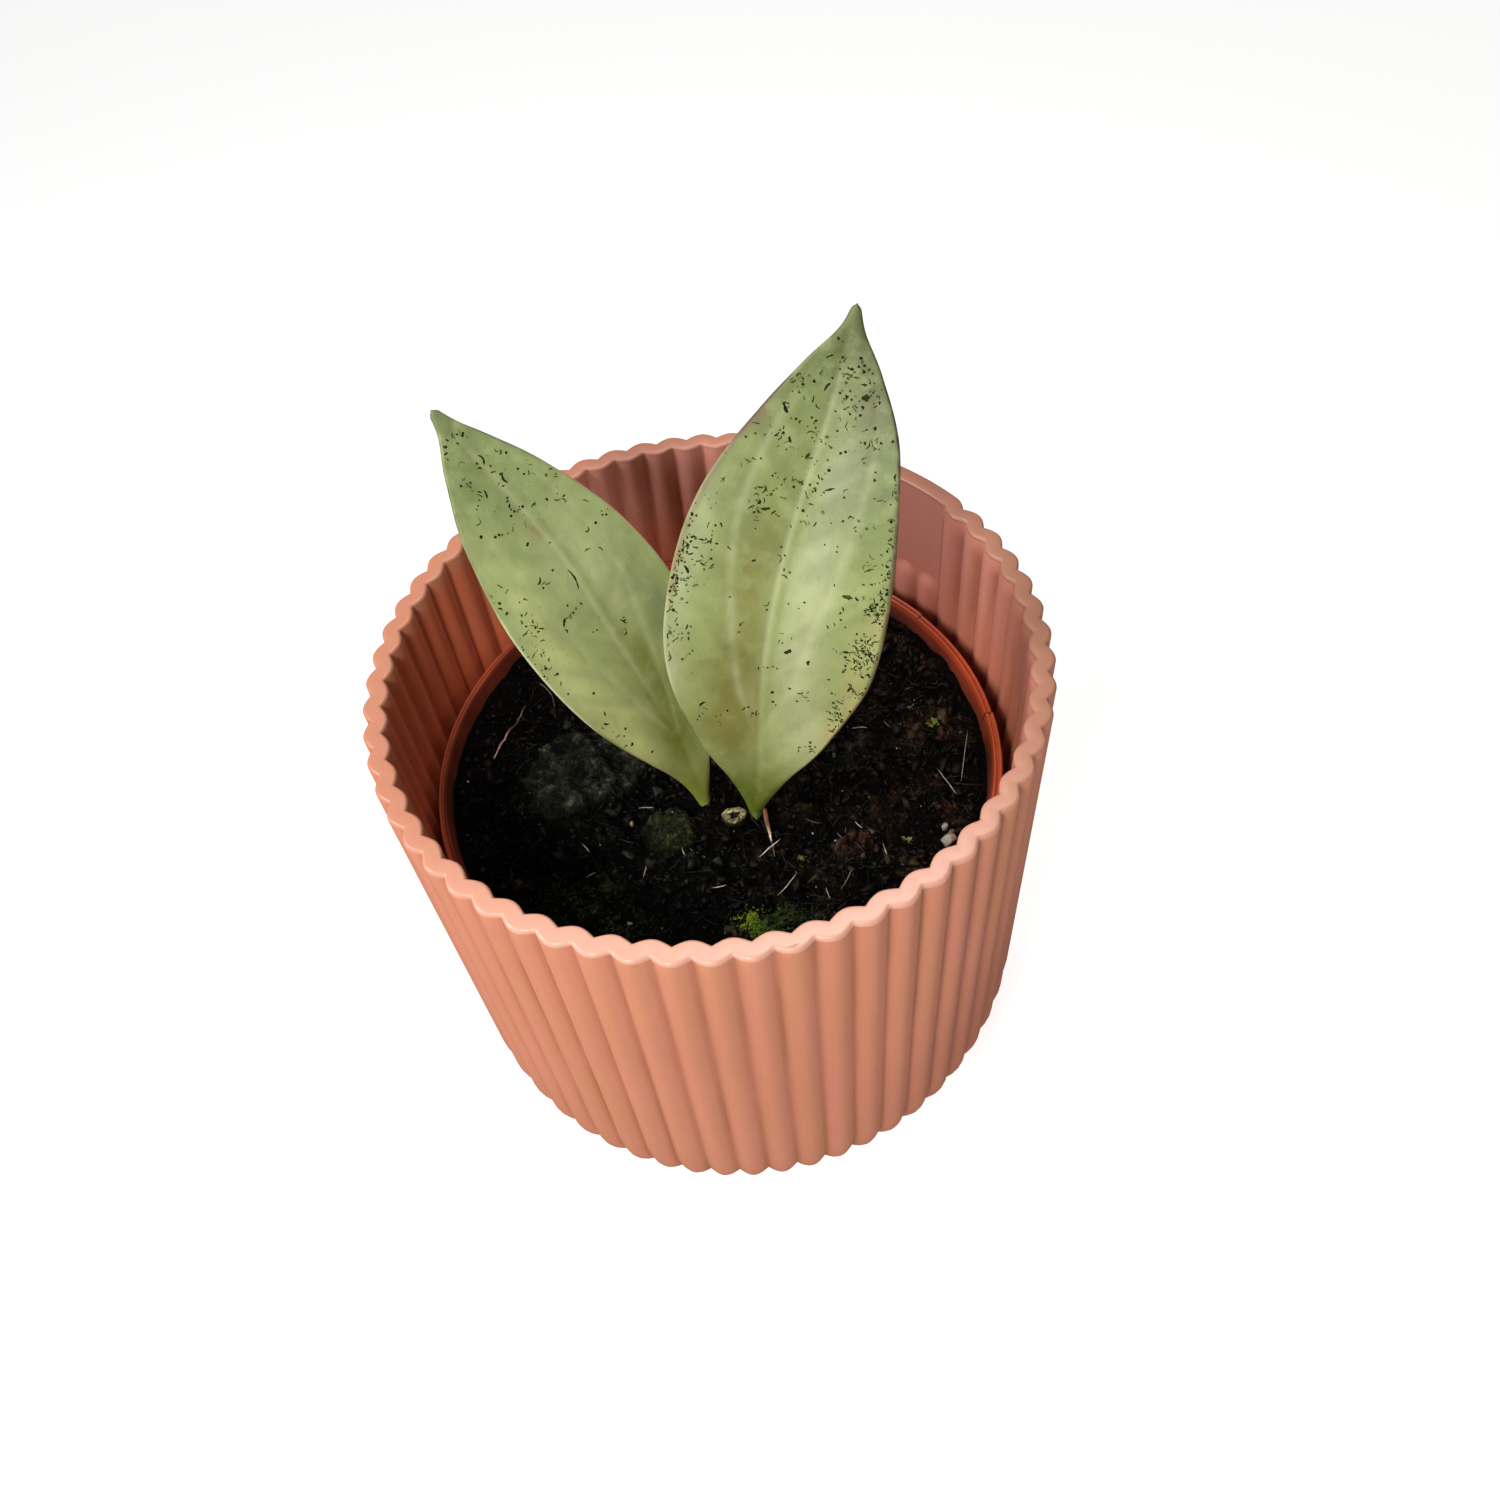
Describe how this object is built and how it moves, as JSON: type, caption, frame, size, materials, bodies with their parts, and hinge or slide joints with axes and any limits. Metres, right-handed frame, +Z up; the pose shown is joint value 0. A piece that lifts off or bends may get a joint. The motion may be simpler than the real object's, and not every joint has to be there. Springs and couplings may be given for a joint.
{
  "type": "potted hoya cutting",
  "caption": "Young hoya with thick speckled sage-green leaves rooted in soil in an orange nursery pot, standing inside a taller fluted salmon-pink cover pot.",
  "frame": {"origin": "middle of the cover pot's flat underside", "axes": "+Z up, -Y towards the side that the leaves face, +X to the right seen from there"},
  "size_m": [0.139, 0.139, 0.197],
  "materials": {
    "cover_pot_plastic": "satin, smooth moulded",
    "nursery_pot_plastic": "semi-gloss, thin moulded",
    "soil": "damp dark peat, rough",
    "stem": "matt green-brown bark with a pale cut top",
    "leaf": "thick leathery blade, satin, with dark specks"
  },
  "bodies": {
    "root": {"cover_pot": "cover_pot_plastic", "nursery_pot": "nursery_pot_plastic", "soil": "soil", "stem": "stem", "leaf_right": "leaf", "leaf_left": "leaf"}
  },
  "joints": []
}
